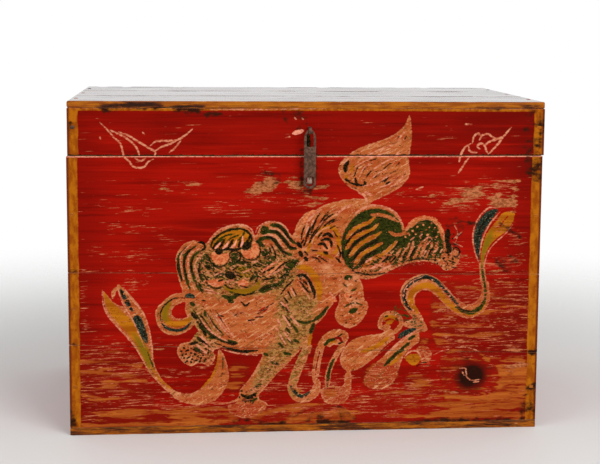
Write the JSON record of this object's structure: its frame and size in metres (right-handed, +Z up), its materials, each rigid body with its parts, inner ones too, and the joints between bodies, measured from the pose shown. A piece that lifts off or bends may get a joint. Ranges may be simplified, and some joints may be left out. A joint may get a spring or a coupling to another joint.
{
  "type": "trunk",
  "caption": "Rectangular painted wooden trunk of nailed planks, with a flat lid hinged at the back and a swinging iron hasp that drops over a staple at the front.",
  "frame": {"origin": "middle of the underside of the bottom boards, under the middle of the walls", "axes": "+Z up, front with the hasp towards -Y, +X to the right seen from the front"},
  "size_m": [0.6215, 0.4145, 0.438],
  "materials": {
    "red_lacquer": "worn red lacquer over wood, satin",
    "ochre_edge": "worn ochre paint over wood, matt",
    "dark_top": "dark red lacquer, polished by use",
    "iron": "hand-forged, brown-grey, worn bright on the edges"
  },
  "bodies": {
    "body": {"base_front": "ochre_edge", "base_back": "ochre_edge", "front_lower": "red_lacquer", "front_middle": "red_lacquer", "front_upper": "red_lacquer", "back_lower": "red_lacquer", "back_upper": "red_lacquer", "left_lower": "red_lacquer", "left_upper": "red_lacquer", "right_lower": "red_lacquer", "right_upper": "red_lacquer", "body_staple": "iron", "hinge_body_leaf_left": "iron", "hinge_body_leaf_right": "iron", "hinge_pin_left": "iron", "hinge_pin_right": "iron", "nail_front_lower_left": "iron", "nail_front_lower_right": "iron", "nail_front_middle_left": "iron", "nail_front_middle_right": "iron", "nail_front_upper_left": "iron", "nail_front_upper_right": "iron", "nail_back_lower_left": "iron", "nail_back_lower_right": "iron", "nail_back_upper_left": "iron", "nail_back_upper_right": "iron", "nail_base_front_left": "iron", "nail_base_front_right": "iron", "nail_base_back_left": "iron", "nail_base_back_right": "iron", "nail_hinge_body_left_a": "iron", "nail_hinge_body_left_b": "iron", "nail_hinge_body_right_a": "iron", "nail_hinge_body_right_b": "iron"},
    "lid": {"lid_front": "red_lacquer", "lid_back": "red_lacquer", "lid_left": "red_lacquer", "lid_right": "red_lacquer", "top_front": "dark_top", "top_middle": "dark_top", "top_back": "dark_top", "lid_staple": "iron", "hinge_lid_leaf_left": "iron", "hinge_lid_leaf_right": "iron", "nail_lid_front_left": "iron", "nail_lid_front_right": "iron", "nail_lid_back_left": "iron", "nail_lid_back_right": "iron", "nail_top_front_left": "iron", "nail_top_front_right": "iron", "nail_top_middle_left": "iron", "nail_top_middle_right": "iron", "nail_top_back_left": "iron", "nail_top_back_right": "iron", "nail_hinge_lid_left_a": "iron", "nail_hinge_lid_left_b": "iron", "nail_hinge_lid_right_a": "iron", "nail_hinge_lid_right_b": "iron"},
    "hasp": {"hasp_strap": "iron"}
  },
  "joints": [
    {"name": "lid_open", "type": "hinge", "parent": "body", "child": "lid", "pos_m": [0, 0.1989, 0.3675], "axis": [-1, 0, 0], "range_deg": [0, 175]},
    {"name": "hasp_swing", "type": "hinge", "parent": "lid", "child": "hasp", "pos_m": [0.0015, -0.2075, 0.401], "axis": [-1, 0, 0], "range_deg": [-8, 170]}
  ]
}
